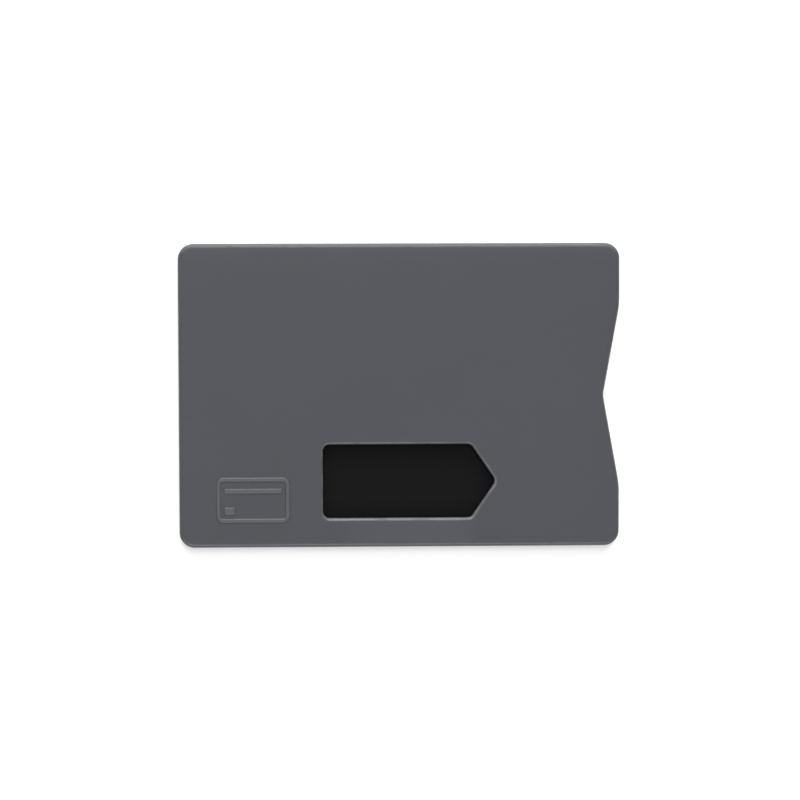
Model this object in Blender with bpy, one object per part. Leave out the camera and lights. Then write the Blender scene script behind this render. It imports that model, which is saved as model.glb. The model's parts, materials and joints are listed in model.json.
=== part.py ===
# Slim rigid card holder with shielding sheets on both sides of its card slot.
# It lies on its back: +Z is the front, +X the mouth that the card goes in by, and the origin is
# the middle of the rear face. The front cover is a tray that carries the sides, the card rails and
# the window for the thumb. The rear cover is a lid that closes the tray from behind. A spring
# finger in each side grips the card's long edges.

import math

import bmesh
import bpy
from mathutils import Matrix, Vector

MM = 0.001

# The card that the slot is made for, and its room on each side, at its end and over its face.
CARD_LENGTH = 85.60 * MM
CARD_WIDTH = 53.98 * MM
CARD_THICKNESS = 0.76 * MM
CARD_SIDE_CLEARANCE = 0.36 * MM
CARD_END_CLEARANCE = 0.30 * MM
CARD_FACE_CLEARANCE = 0.80 * MM

# Walls of the case, from the slot outwards: a rail, a hollow channel, the ledge that the lid
# lies on and the side wall.
FRONT_WALL = 1.20 * MM
REAR_WALL = 1.20 * MM
RAIL_THICKNESS = 1.00 * MM
CHANNEL_WIDTH = 1.75 * MM
LID_LEDGE = 0.30 * MM
SIDE_WALL = 1.30 * MM
END_WALL = 2.70 * MM
CORNER_RADIUS = 3.20 * MM
FRONT_EDGE_RADIUS = 0.60 * MM
REAR_EDGE_RADIUS = 0.50 * MM

# The rear cover in its seat.
LID_CLEARANCE = 0.15 * MM
LID_SEAT_GAP = 0.05 * MM
LID_EDGE_BEVEL = 0.20 * MM

# The shallow V that both covers have across the mouth, and the slot's lead-in there.
NOTCH_LENGTH = 37.50 * MM
NOTCH_DEPTH = 3.40 * MM
NOTCH_APEX_RADIUS = 5.40 * MM
NOTCH_SHOULDER_RADIUS = 16.00 * MM
MOUTH_FLARE = 0.40 * MM

# The window: a rectangle with a point towards the mouth.
WINDOW_LENGTH = 30.90 * MM
WINDOW_POINT = 5.25 * MM
WINDOW_HEIGHT = 15.40 * MM
WINDOW_FROM_END = 30.00 * MM
WINDOW_FROM_SIDE = 6.10 * MM
WINDOW_CORNER_RADIUS = 1.40 * MM
WINDOW_TIP_RADIUS = 1.60 * MM
WINDOW_EDGE_RADIUS = 0.65 * MM

# The raised card figure on the front: a frame, a stripe and a chip.
FIGURE_LENGTH = 15.40 * MM
FIGURE_HEIGHT = 9.60 * MM
FIGURE_FROM_END = 7.70 * MM
FIGURE_FROM_SIDE = 5.20 * MM
FIGURE_STROKE = 1.00 * MM
FIGURE_GAP = 0.60 * MM
FIGURE_CORNER_RADIUS = 1.50 * MM
FIGURE_RELIEF = 0.25 * MM
FIGURE_EDGE_RADIUS = 0.12 * MM
FIGURE_ROOT = 0.50 * MM
STRIPE_FROM_TOP = 2.30 * MM
STRIPE_THICKNESS = 1.20 * MM
CHIP_LENGTH = 2.40 * MM
CHIP_HEIGHT = 1.80 * MM
CHIP_CORNER_RADIUS = 0.45 * MM

# The sheets bonded to each cover: adhesive film, foil and black lining.
ADHESIVE_THICKNESS = 0.10 * MM
FOIL_THICKNESS = 0.12 * MM
LINING_THICKNESS = 0.15 * MM
SHEET_GAP = 0.05 * MM
SHEET_SIDE_CLEARANCE = 0.15 * MM
SHEET_MOUTH_SETBACK = 1.20 * MM
SHEET_WINDOW_SETBACK = 0.50 * MM
SHEET_CORNER_RADIUS = 0.80 * MM

# The pins on the rear cover and the solid pads of the tray that they go into.
PAD_LENGTH = 7.00 * MM
PIN_RADIUS = 0.70 * MM
PIN_CLEARANCE = 0.10 * MM
PIN_TIP_CLEARANCE = 0.15 * MM
PIN_TIP_LENGTH = 0.40 * MM
PIN_TIP_SHARE = 0.65
PIN_ROOF = 0.60 * MM

# The spring fingers, from the round root near the mouth to the tip.
FINGER_LENGTH = 14.00 * MM
FINGER_THICKNESS = 1.30 * MM
FINGER_FACE_CLEARANCE = 0.12 * MM
FINGER_FROM_SLOT = 0.30 * MM
FINGER_TIP_GAP = 1.00 * MM
ROOT_RADIUS = 1.00 * MM
ROOT_CLEARANCE = 0.08 * MM
ROOT_FACE_CLEARANCE = 0.10 * MM
ROOT_FROM_SLOT = 1.60 * MM
ROOT_FROM_MOUTH = 9.00 * MM
SOCKET_LIP_SHARE = 0.75
NUB_REACH = 0.75 * MM
NUB_LENGTH = 4.40 * MM
NUB_FROM_TIP = 3.00 * MM
NUB_RADIUS = 1.20 * MM
NUB_FOOT_RADIUS = 1.20 * MM
TIP_RADIUS = 0.30 * MM

# How finely curves are stepped, and how far a cutter runs past what it cuts.
ARC_STEP = math.radians(9)
FEWEST_ARC_STEPS = 3
EDGE_STEPS = 4
SMALL_EDGE_STEPS = 2
CIRCLE_POINTS = 24
SMALLEST_RADIUS = 0.02 * MM
OVERRUN = 0.50 * MM
SMOOTH_ANGLE = math.radians(30)

# Levels above the rear face, worked out from the layers. The tray is cut from inside the lid's level.
LAMINATE = 3 * SHEET_GAP + ADHESIVE_THICKNESS + FOIL_THICKNESS + LINING_THICKNESS
SLOT_FLOOR = REAR_WALL + LAMINATE
SLOT_ROOF = SLOT_FLOOR + CARD_THICKNESS + CARD_FACE_CLEARANCE
FRONT_INSIDE = SLOT_ROOF + LAMINATE
CASE_THICKNESS = FRONT_INSIDE + FRONT_WALL
CUT_FROM = REAR_WALL / 2

# Places in plan, worked out from the card outwards. The mouth side is +X.
SLOT_HALF_WIDTH = CARD_WIDTH / 2 + CARD_SIDE_CLEARANCE
RAIL_OUTSIDE = SLOT_HALF_WIDTH + RAIL_THICKNESS
CHANNEL_OUTSIDE = RAIL_OUTSIDE + CHANNEL_WIDTH
SEAT_HALF_WIDTH = CHANNEL_OUTSIDE + LID_LEDGE
CASE_HALF_WIDTH = SEAT_HALF_WIDTH + SIDE_WALL
CASE_LENGTH = END_WALL + CARD_END_CLEARANCE + CARD_LENGTH + NOTCH_DEPTH
MOUTH_X = CASE_LENGTH / 2
END_X = -CASE_LENGTH / 2
SLOT_END_X = END_X + END_WALL
ROOT_X = MOUTH_X - ROOT_FROM_MOUTH
ROOT_Y = SLOT_HALF_WIDTH + ROOT_FROM_SLOT
TIP_X = ROOT_X - FINGER_LENGTH
SOCKET_RADIUS = ROOT_RADIUS + ROOT_CLEARANCE
SOCKET_FACE_X = ROOT_X - SOCKET_LIP_SHARE * ROOT_RADIUS
FINGER_GAP_X = TIP_X - FINGER_TIP_GAP

# Colours are linear. The case is a cool mid grey, and everything behind the window is black.
GREY_PLASTIC = ((0.100, 0.102, 0.112), 0.42, 0.0)
BLACK_FILM = ((0.012, 0.012, 0.012), 0.50, 0.0)
BARE_FOIL = ((0.800, 0.800, 0.810), 0.30, 1.0)
CLEAR_ADHESIVE = ((0.700, 0.690, 0.640), 0.60, 0.0)
BLACK_ACETAL = ((0.015, 0.015, 0.016), 0.35, 0.0)


def filleted(corners, inset=0.0):
    """Points of a closed outline, with every side moved in by inset, or out if it is negative.

    Its corners are (x, y, radius), counter-clockwise. A radius is limited by the shorter side.
    """
    sides = []
    for index, (x, y, _) in enumerate(corners):
        next_x, next_y, _ = corners[(index + 1) % len(corners)]
        sides.append(Vector((next_x - x, next_y - y)))
    points = []
    for index, (x, y, radius) in enumerate(corners):
        before = sides[index - 1].normalized()
        after = sides[index].normalized()
        left_before = Vector((-before.y, before.x))
        left_after = Vector((-after.y, after.x))
        moved = inset * (left_before + left_after) / (1 + left_before.dot(left_after))
        corner = Vector((x, y)) + moved
        if radius == 0:
            points.append(corner)
            continue
        turn = math.atan2(before.cross(after), before.dot(after))
        hand = math.copysign(1, turn)
        half_tangent = math.tan(abs(turn) / 2)
        room = min(sides[index - 1].length, sides[index].length) / 2
        bend = max(min(radius, room / half_tangent) - hand * inset, SMALLEST_RADIUS)
        start = corner - before * bend * half_tangent
        centre = start + hand * bend * left_before
        steps = max(FEWEST_ARC_STEPS, round(abs(turn) / ARC_STEP))
        for step in range(steps + 1):
            spoke = start - centre
            spoke.rotate(Matrix.Rotation(turn * step / steps, 2))
            points.append(centre + spoke)
    return points


def at_levels(corners, levels):
    """One ring of points for each (height, inset) in levels."""
    return [[(*point, height) for point in filleted(corners, inset)] for height, inset in levels]


def circle(x, y, height, radius):
    """A ring of points round (x, y), counter-clockwise."""
    angles = [2 * math.pi * index / CIRCLE_POINTS for index in range(CIRCLE_POINTS)]
    return [(x + radius * math.cos(a), y + radius * math.sin(a), height) for a in angles]


def rounding_up(high, radius, steps=EDGE_STEPS):
    """Levels that round an edge inwards up to the height high."""
    angles = [math.pi / 2 * step / steps for step in range(steps + 1)]
    return [(high - radius + radius * math.sin(a), radius * (1 - math.cos(a))) for a in angles]


def rounding_down(low, radius, steps=EDGE_STEPS):
    """Levels that round an edge outwards from the height low."""
    edge = reversed(rounding_up(low, radius, steps))
    return [(2 * low - height, inset) for height, inset in edge]


def plate_corners(left, right, half_width, radius):
    """Outline of a plate whose right side has the mouth's V."""
    half_notch = NOTCH_LENGTH / 2
    return [
        (left, -half_width, radius),
        (right, -half_width, radius),
        (right, -half_notch, NOTCH_SHOULDER_RADIUS),
        (right - NOTCH_DEPTH, 0, NOTCH_APEX_RADIUS),
        (right, half_notch, NOTCH_SHOULDER_RADIUS),
        (right, half_width, radius),
        (left, half_width, radius),
    ]


def box_corners(left, right, low, high, radius=0.0):
    """Outline of a rectangle."""
    return [(left, low, radius), (right, low, radius), (right, high, radius), (left, high, radius)]


def mirrored(corners):
    """The same outline on the other side of the X axis, still counter-clockwise."""
    return [(x, -y, radius) for x, y, radius in reversed(corners)]


def skin(shape, rings, closed=False):
    """Adds to a bmesh the faces between rings, and caps them or joins the last to the first."""
    loops = [[shape.verts.new(point) for point in ring] for ring in rings]
    following = loops[1:] + loops[:1] if closed else loops[1:]
    for lower, upper in zip(loops, following):
        for index, vertex in enumerate(lower):
            other = (index + 1) % len(lower)
            shape.faces.new((vertex, lower[other], upper[other], upper[index]))
    if not closed:
        shape.faces.new(reversed(loops[0]))
        shape.faces.new(loops[-1])


def make_object(name, shape, pivot=(0, 0, 0)):
    """An object from a bmesh, with its origin at pivot."""
    bmesh.ops.translate(shape, verts=shape.verts, vec=-Vector(pivot))
    mesh = bpy.data.meshes.new(name)
    shape.to_mesh(mesh)
    shape.free()
    made = bpy.data.objects.new(name, mesh)
    made.location = pivot
    bpy.context.collection.objects.link(made)
    return made


def make_solid(name, *stacks, pivot=(0, 0, 0)):
    """An object from stacks of rings, each capped at both ends."""
    shape = bmesh.new()
    for rings in stacks:
        skin(shape, rings)
    return make_object(name, shape, pivot)


def make_prisms(name, outlines, low, high, pivot=(0, 0, 0)):
    """An object from outlines extruded straight up."""
    stacks = [at_levels(corners, [(low, 0), (high, 0)]) for corners in outlines]
    return make_solid(name, *stacks, pivot=pivot)


def make_posts(name, places, sections):
    """An object of round posts at (x, y) places, all with the same (height, radius) sections."""
    stacks = [[circle(x, y, height, radius) for height, radius in sections] for x, y in places]
    return make_solid(name, *stacks)


def combine(target, tool, operation):
    """Cuts tool from target, joins it to it or keeps what they share, and hides the tool."""
    modifier = target.modifiers.new(tool.name, "BOOLEAN")
    modifier.operation = operation
    modifier.solver = "EXACT"
    modifier.object = tool
    tool.hide_render = True
    tool.display_type = "WIRE"


def finish_piece(piece, finish, parent):
    """Applies a piece's Booleans, smooths its round faces, and gives it its own material."""
    bpy.context.view_layer.update()
    evaluated = piece.evaluated_get(bpy.context.evaluated_depsgraph_get())
    piece.data = bpy.data.meshes.new_from_object(evaluated)
    piece.data.name = piece.name
    piece.modifiers.clear()
    piece.data.shade_smooth()
    piece.data.set_sharp_from_angle(angle=SMOOTH_ANGLE)

    colour, roughness, metallic = finish
    material = bpy.data.materials.new(piece.name)
    material.use_nodes = True
    shader = material.node_tree.nodes["Principled BSDF"]
    shader.inputs["Base Color"].default_value = (*colour, 1)
    shader.inputs["Roughness"].default_value = roughness
    shader.inputs["Metallic"].default_value = metallic
    material.diffuse_color = (*colour, 1)
    piece.data.materials.clear()
    piece.data.materials.append(material)
    piece.parent = parent


def case_corners():
    """Outline of the closed case."""
    return plate_corners(END_X, MOUTH_X, CASE_HALF_WIDTH, CORNER_RADIUS)


def seat_rings(clearance, bevel, high):
    """Rings of the lid's space, drawn in by clearance and wider by bevel at the rear face."""
    past_mouth = MOUTH_X + LID_CLEARANCE + LID_EDGE_BEVEL + 2 * OVERRUN
    corners = box_corners(END_X + SIDE_WALL, past_mouth, -SEAT_HALF_WIDTH, SEAT_HALF_WIDTH)
    radius = max(CORNER_RADIUS - SIDE_WALL, 0)
    corners = [(x, y, radius if x < 0 else 0) for x, y, _ in corners]
    past_bevel = bevel + math.copysign(OVERRUN, bevel)
    levels = [(-OVERRUN, clearance - past_bevel), (abs(bevel), clearance), (high, clearance)]
    return at_levels(corners, levels)


def lid_seat_cutter():
    return make_solid("lid_seat_cutter", seat_rings(0, LID_EDGE_BEVEL, REAR_WALL + LID_SEAT_GAP))


def card_slot_cutter():
    slot = box_corners(SLOT_END_X, MOUTH_X + OVERRUN, -SLOT_HALF_WIDTH, SLOT_HALF_WIDTH)
    return make_prisms("card_slot_cutter", [slot], CUT_FROM, FRONT_INSIDE)


def channel_cutter():
    """Cutter for the hollow channels between the pads of both sides."""
    end_pad, middle_pad, mouth_pad = pad_spans()
    spans = [(end_pad[1], middle_pad[0]), (middle_pad[1], mouth_pad[0])]
    channels = [box_corners(*span, RAIL_OUTSIDE, CHANNEL_OUTSIDE) for span in spans]
    channels += [mirrored(channel) for channel in channels]
    return make_prisms("channel_cutter", channels, CUT_FROM, FRONT_INSIDE)


def finger_gap_cutter():
    """Cutter for the gaps in both rails that the spring fingers reach through."""
    low = SLOT_HALF_WIDTH - OVERRUN
    gap = box_corners(FINGER_GAP_X, SOCKET_FACE_X, low, RAIL_OUTSIDE + OVERRUN)
    return make_prisms("finger_gap_cutter", [gap, mirrored(gap)], CUT_FROM, FRONT_INSIDE)


def socket_cutter():
    places = [(ROOT_X, side * ROOT_Y) for side in (-1, 1)]
    sections = [(CUT_FROM, SOCKET_RADIUS), (FRONT_INSIDE, SOCKET_RADIUS)]
    return make_posts("socket_cutter", places, sections)


def pin_hole_cutter():
    radius = PIN_RADIUS + PIN_CLEARANCE
    sections = [(CUT_FROM, radius), (FRONT_INSIDE - PIN_ROOF, radius)]
    return make_posts("pin_hole_cutter", pin_places(), sections)


def window_cutter():
    """Cutter for the window, which widens where the front wall's edge is rounded."""
    edge = rounding_up(CASE_THICKNESS, WINDOW_EDGE_RADIUS)
    levels = [(FRONT_INSIDE - OVERRUN, 0)]
    levels += [(height, -inset) for height, inset in edge]
    levels += [(CASE_THICKNESS + OVERRUN, -WINDOW_EDGE_RADIUS)]
    return make_solid("window_cutter", at_levels(window_corners(), levels))


def mouth_flare_cutter():
    """Cutter for the lead-in that slopes both covers away from the slot along the mouth."""
    far_x = MOUTH_X + NOTCH_DEPTH
    mouth_side = plate_corners(END_X, MOUTH_X, SLOT_HALF_WIDTH, 0)[1:6]
    corners = [(far_x, -SLOT_HALF_WIDTH, 0), (far_x, SLOT_HALF_WIDTH, 0), *reversed(mouth_side)]
    past = MOUTH_FLARE + OVERRUN
    levels = [
        (REAR_WALL - past, OVERRUN),
        (REAR_WALL, -MOUTH_FLARE),
        (FRONT_INSIDE, -MOUTH_FLARE),
        (FRONT_INSIDE + past, OVERRUN),
    ]
    return make_solid("mouth_flare_cutter", at_levels(corners, levels))


def window_corners():
    """Outline of the window in the front wall."""
    left = END_X + WINDOW_FROM_END
    right = left + WINDOW_LENGTH
    low = -CASE_HALF_WIDTH + WINDOW_FROM_SIDE
    high = low + WINDOW_HEIGHT
    return [
        (left, low, WINDOW_CORNER_RADIUS),
        (right, low, WINDOW_CORNER_RADIUS),
        (right + WINDOW_POINT, (low + high) / 2, WINDOW_TIP_RADIUS),
        (right, high, WINDOW_CORNER_RADIUS),
        (left, high, WINDOW_CORNER_RADIUS),
    ]


def pad_spans():
    """Where the tray's sides are solid, as (low x, high x): at the end, halfway and at the mouth."""
    end_pad = (SLOT_END_X, SLOT_END_X + PAD_LENGTH)
    mouth_pad = (SOCKET_FACE_X, MOUTH_X)
    middle = (end_pad[1] + FINGER_GAP_X) / 2
    return end_pad, (middle - PAD_LENGTH / 2, middle + PAD_LENGTH / 2), mouth_pad


def pin_places():
    """Centres of the pins, one in each pad of each side."""
    end_pad, middle_pad, _ = pad_spans()
    beyond_socket = ROOT_X + SOCKET_RADIUS
    columns = [sum(end_pad) / 2, sum(middle_pad) / 2, (beyond_socket + MOUTH_X) / 2]
    offset = (SLOT_HALF_WIDTH + CHANNEL_OUTSIDE) / 2
    return [(x, side * offset) for x in columns for side in (-1, 1)]


def card_figure():
    """The raised figure of a card: a rounded frame with a stripe and a chip in it."""
    left = END_X + FIGURE_FROM_END
    right = left + FIGURE_LENGTH
    low = -CASE_HALF_WIDTH + FIGURE_FROM_SIDE
    high = low + FIGURE_HEIGHT
    root = CASE_THICKNESS - FIGURE_ROOT
    outer_edge = rounding_up(CASE_THICKNESS + FIGURE_RELIEF, FIGURE_EDGE_RADIUS, SMALL_EDGE_STEPS)
    inner_edge = [(height, FIGURE_STROKE - inset) for height, inset in reversed(outer_edge)]
    frame = box_corners(left, right, low, high, FIGURE_CORNER_RADIUS)

    margin = FIGURE_STROKE + FIGURE_GAP
    stripe_high = high - STRIPE_FROM_TOP
    stripe_low = stripe_high - STRIPE_THICKNESS
    radius = STRIPE_THICKNESS / 4
    stripe = box_corners(left + margin, right - margin, stripe_low, stripe_high, radius)
    chip_right = left + margin + CHIP_LENGTH
    chip_high = low + margin + CHIP_HEIGHT
    chip = box_corners(left + margin, chip_right, low + margin, chip_high, CHIP_CORNER_RADIUS)

    shape = bmesh.new()
    frame_levels = [(root, 0), *outer_edge, *inner_edge, (root, FIGURE_STROKE)]
    skin(shape, at_levels(frame, frame_levels), closed=True)
    for bar in (stripe, chip):
        skin(shape, at_levels(bar, [(root, 0), *outer_edge]))
    return make_object("card_figure_tool", shape)


def front_cover(flare):
    """The tray: front wall, sides, closed end, rails, pads and finger sockets in one moulding."""
    levels = rounding_down(0, REAR_EDGE_RADIUS) + rounding_up(CASE_THICKNESS, FRONT_EDGE_RADIUS)
    cover = make_solid("front_cover", at_levels(case_corners(), levels))
    cutters = [
        lid_seat_cutter(),
        card_slot_cutter(),
        channel_cutter(),
        finger_gap_cutter(),
        socket_cutter(),
        pin_hole_cutter(),
        window_cutter(),
        flare,
    ]
    for cutter in cutters:
        combine(cover, cutter, "DIFFERENCE")
    combine(cover, card_figure(), "UNION")
    return cover


def rear_cover(flare):
    """The lid: a plate that drops into the tray's seat, with a pin for each pad of the tray."""
    levels = [*rounding_down(0, REAR_EDGE_RADIUS), (REAR_WALL, 0)]
    cover = make_solid("rear_cover", at_levels(case_corners(), levels))
    seat = seat_rings(LID_CLEARANCE, -LID_EDGE_BEVEL, REAR_WALL + OVERRUN)
    combine(cover, make_solid("lid_outline_tool", seat), "INTERSECT")

    tip = FRONT_INSIDE - PIN_ROOF - PIN_TIP_CLEARANCE
    sections = [
        (CUT_FROM, PIN_RADIUS),
        (tip - PIN_TIP_LENGTH, PIN_RADIUS),
        (tip, PIN_RADIUS * PIN_TIP_SHARE),
    ]
    combine(cover, make_posts("pin_tool", pin_places(), sections), "UNION")
    combine(cover, flare, "DIFFERENCE")
    return cover


def sheet(name, low, thickness, opening=None):
    """A die-cut sheet as large as the slot, with an opening where the window is."""
    outline = plate_corners(
        SLOT_END_X + SHEET_SIDE_CLEARANCE,
        MOUTH_X - SHEET_MOUTH_SETBACK,
        SLOT_HALF_WIDTH - SHEET_SIDE_CLEARANCE,
        SHEET_CORNER_RADIUS,
    )
    made = make_prisms(name, [outline], low, low + thickness)
    if opening:
        combine(made, opening, "DIFFERENCE")
    return made


def sheets():
    """The three sheets on each cover, counted from the cover to the slot."""
    kinds = [
        ("shield_adhesive", ADHESIVE_THICKNESS, CLEAR_ADHESIVE),
        ("shield_foil", FOIL_THICKNESS, BARE_FOIL),
        ("lining", LINING_THICKNESS, BLACK_FILM),
    ]
    heights = (SLOT_ROOF - OVERRUN, FRONT_INSIDE + OVERRUN)
    opening_levels = [(height, -SHEET_WINDOW_SETBACK) for height in heights]
    opening = make_solid("sheet_window_cutter", at_levels(window_corners(), opening_levels))
    made = []
    depth = 0
    for name, thickness, finish in kinds:
        depth += SHEET_GAP
        made.append((sheet(f"rear_{name}", REAR_WALL + depth, thickness), finish))
        depth += thickness
        made.append((sheet(f"front_{name}", FRONT_INSIDE - depth, thickness, opening), finish))
    return made


def finger_corners():
    """Outline of the +Y side's spring finger: a beam from the root, with a nub near its tip."""
    half = FINGER_THICKNESS / 2
    inner_y = SLOT_HALF_WIDTH + FINGER_FROM_SLOT
    nub_x = TIP_X + NUB_FROM_TIP
    return [
        (TIP_X, inner_y, TIP_RADIUS),
        (nub_x - NUB_LENGTH / 2, inner_y, NUB_FOOT_RADIUS),
        (nub_x, SLOT_HALF_WIDTH - NUB_REACH, NUB_RADIUS),
        (nub_x + NUB_LENGTH / 2, inner_y, NUB_FOOT_RADIUS),
        (ROOT_X, ROOT_Y - half, 0),
        (ROOT_X, ROOT_Y + half, 0),
        (TIP_X, inner_y + FINGER_THICKNESS, TIP_RADIUS),
    ]


def spring_finger(name, side):
    """A finger as tall as the slot, whose round root fills the tray's socket from lid to wall."""
    corners = finger_corners() if side > 0 else mirrored(finger_corners())
    pivot = (ROOT_X, side * ROOT_Y, (SLOT_FLOOR + SLOT_ROOF) / 2)
    low = SLOT_FLOOR + FINGER_FACE_CLEARANCE
    high = SLOT_ROOF - FINGER_FACE_CLEARANCE
    finger = make_prisms(name, [corners], low, high, pivot)
    root_heights = (REAR_WALL + ROOT_FACE_CLEARANCE, FRONT_INSIDE - ROOT_FACE_CLEARANCE)
    sections = [(height, ROOT_RADIUS) for height in root_heights]
    combine(finger, make_posts(f"{name}_root_tool", [pivot[:2]], sections), "UNION")
    return finger


def main():
    for old in list(bpy.data.objects):
        bpy.data.objects.remove(old)
    holder = bpy.data.objects.new("card_holder", None)
    bpy.context.collection.objects.link(holder)

    flare = mouth_flare_cutter()
    finish_piece(front_cover(flare), GREY_PLASTIC, holder)
    finish_piece(rear_cover(flare), GREY_PLASTIC, holder)
    for made, finish in sheets():
        finish_piece(made, finish, holder)
    finish_piece(spring_finger("upper_spring_finger", 1), BLACK_ACETAL, holder)
    finish_piece(spring_finger("lower_spring_finger", -1), BLACK_ACETAL, holder)


main()
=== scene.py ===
# Looks of a slim, rigid card holder. It lies on its back with its mouth towards +X, in metres.

import json
import math

import bmesh
import bpy
from mathutils import Matrix, Vector


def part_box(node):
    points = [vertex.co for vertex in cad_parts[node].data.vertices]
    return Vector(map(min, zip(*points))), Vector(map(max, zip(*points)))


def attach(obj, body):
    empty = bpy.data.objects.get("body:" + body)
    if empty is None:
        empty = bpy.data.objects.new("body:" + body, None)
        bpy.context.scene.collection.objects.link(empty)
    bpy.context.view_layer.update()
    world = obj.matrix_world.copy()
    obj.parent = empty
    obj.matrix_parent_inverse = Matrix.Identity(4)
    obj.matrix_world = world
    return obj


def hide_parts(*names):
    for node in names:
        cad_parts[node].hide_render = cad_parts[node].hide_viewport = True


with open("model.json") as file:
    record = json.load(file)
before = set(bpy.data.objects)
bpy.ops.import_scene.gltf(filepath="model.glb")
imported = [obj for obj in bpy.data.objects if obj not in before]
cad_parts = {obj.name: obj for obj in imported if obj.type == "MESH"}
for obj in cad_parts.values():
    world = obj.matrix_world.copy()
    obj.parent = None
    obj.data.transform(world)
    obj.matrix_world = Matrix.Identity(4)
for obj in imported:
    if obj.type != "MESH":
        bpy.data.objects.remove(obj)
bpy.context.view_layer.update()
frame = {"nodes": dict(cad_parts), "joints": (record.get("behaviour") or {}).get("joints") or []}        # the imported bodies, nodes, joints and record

mm = 0.001

# How finely curves are stepped, and how far a cutter runs past what it cuts.
fineness = {
    "arcStep": math.radians(3),
    "fewestArcSteps": 6,
    "edgeSteps": 8,
    "circlePoints": 72,
    "smallestRadius": 0.005 * mm,
    "overrun": 0.50 * mm,
    "sharpAngle": math.radians(32),
}


# Outlines: corners are (x, y, radius), counter-clockwise.

def roundedOutline(corners, inset=0.0):
    # every side moves in by inset, and each corner's radius follows it
    sides = []
    for index, (x, y, _) in enumerate(corners):
        nextX, nextY, _ = corners[(index + 1) % len(corners)]
        sides.append(Vector((nextX - x, nextY - y)))
    points = []
    for index, (x, y, radius) in enumerate(corners):
        before = sides[index - 1].normalized()
        after = sides[index].normalized()
        leftBefore = Vector((-before.y, before.x))
        leftAfter = Vector((-after.y, after.x))
        corner = Vector((x, y)) + inset * (leftBefore + leftAfter) / (1 + leftBefore.dot(leftAfter))
        if radius == 0:
            points.append(corner)
            continue
        turn = math.atan2(before.cross(after), before.dot(after))
        hand = math.copysign(1, turn)
        halfTangent = math.tan(abs(turn) / 2)
        room = min(sides[index - 1].length, sides[index].length) / 2
        bend = max(min(radius, room / halfTangent) - hand * inset, fineness["smallestRadius"])
        start = corner - before * bend * halfTangent
        centre = start + hand * bend * leftBefore
        steps = max(fineness["fewestArcSteps"], round(abs(turn) / fineness["arcStep"]))
        for step in range(steps + 1):
            spoke = start - centre
            spoke.rotate(Matrix.Rotation(turn * step / steps, 2))
            points.append(centre + spoke)
    return points


def ringsAt(corners, levels):
    return [[(*point, height) for point in roundedOutline(corners, inset)] for height, inset in levels]


def circleAt(x, y, height, radius):
    count = fineness["circlePoints"]
    angles = [2 * math.pi * index / count for index in range(count)]
    return [(x + radius * math.cos(angle), y + radius * math.sin(angle), height) for angle in angles]


def quarterTurn():
    # the angles at which a rounded edge is stepped
    steps = fineness["edgeSteps"]
    return [math.pi / 2 * step / steps for step in range(steps + 1)]


def edgeUp(high, radius):
    # levels that round an edge inwards up to the height high
    low = high - radius
    return [(low + radius * math.sin(angle), radius * (1 - math.cos(angle))) for angle in quarterTurn()]


def edgeDown(low, radius):
    # levels that round an edge outwards from the height low
    return [(2 * low - height, inset) for height, inset in reversed(edgeUp(low, radius))]


def boxCorners(left, right, low, high, radius=0.0):
    return [(left, low, radius), (right, low, radius), (right, high, radius), (left, high, radius)]


def mirrored(corners):
    return [(x, -y, radius) for x, y, radius in reversed(corners)]


# Meshes from stacked rings, and cuts between them.

def skinRings(shape, rings, closed=False):
    loops = [[shape.verts.new(point) for point in ring] for ring in rings]
    following = loops[1:] + loops[:1] if closed else loops[1:]
    for lower, upper in zip(loops, following):
        for index, vertex in enumerate(lower):
            other = (index + 1) % len(lower)
            shape.faces.new((vertex, lower[other], upper[other], upper[index]))
    if not closed:
        shape.faces.new(reversed(loops[0]))
        shape.faces.new(loops[-1])


def pieceFrom(name, shape):
    mesh = bpy.data.meshes.new(name)
    shape.to_mesh(mesh)
    shape.free()
    made = bpy.data.objects.new(name, mesh)
    bpy.context.scene.collection.objects.link(made)
    return made


def pieceFromStacks(name, *stacks):
    shape = bmesh.new()
    for rings in stacks:
        skinRings(shape, rings)
    return pieceFrom(name, shape)


def prisms(name, outlines, low, high):
    return pieceFromStacks(name, *[ringsAt(corners, [(low, 0), (high, 0)]) for corners in outlines])


def posts(name, places, sections):
    stacks = [[circleAt(x, y, height, radius) for height, radius in sections] for x, y in places]
    return pieceFromStacks(name, *stacks)


def bake(piece):
    # the mesh as its modifiers leave it becomes the piece's own
    bpy.context.view_layer.update()
    evaluated = piece.evaluated_get(bpy.context.evaluated_depsgraph_get())
    old = piece.data
    piece.data = bpy.data.meshes.new_from_object(evaluated)
    piece.modifiers.clear()
    bpy.data.meshes.remove(old)
    piece.data.name = piece.name


def carve(piece, tool, operation="DIFFERENCE"):
    modifier = piece.modifiers.new(tool.name, "BOOLEAN")
    modifier.operation = operation
    modifier.solver = "EXACT"
    modifier.object = tool
    bake(piece)
    bpy.data.objects.remove(tool)


def shadeSmooth(piece):
    # flat faces keep their own normal, and the roundings between them shade evenly
    piece.data.shade_smooth()
    piece.data.set_sharp_from_angle(angle=fineness["sharpAngle"])
    modifier = piece.modifiers.new("evenNormals", "WEIGHTED_NORMAL")
    modifier.keep_sharp = True
    bake(piece)


# Levels and places that the pieces share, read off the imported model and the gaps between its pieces.

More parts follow.
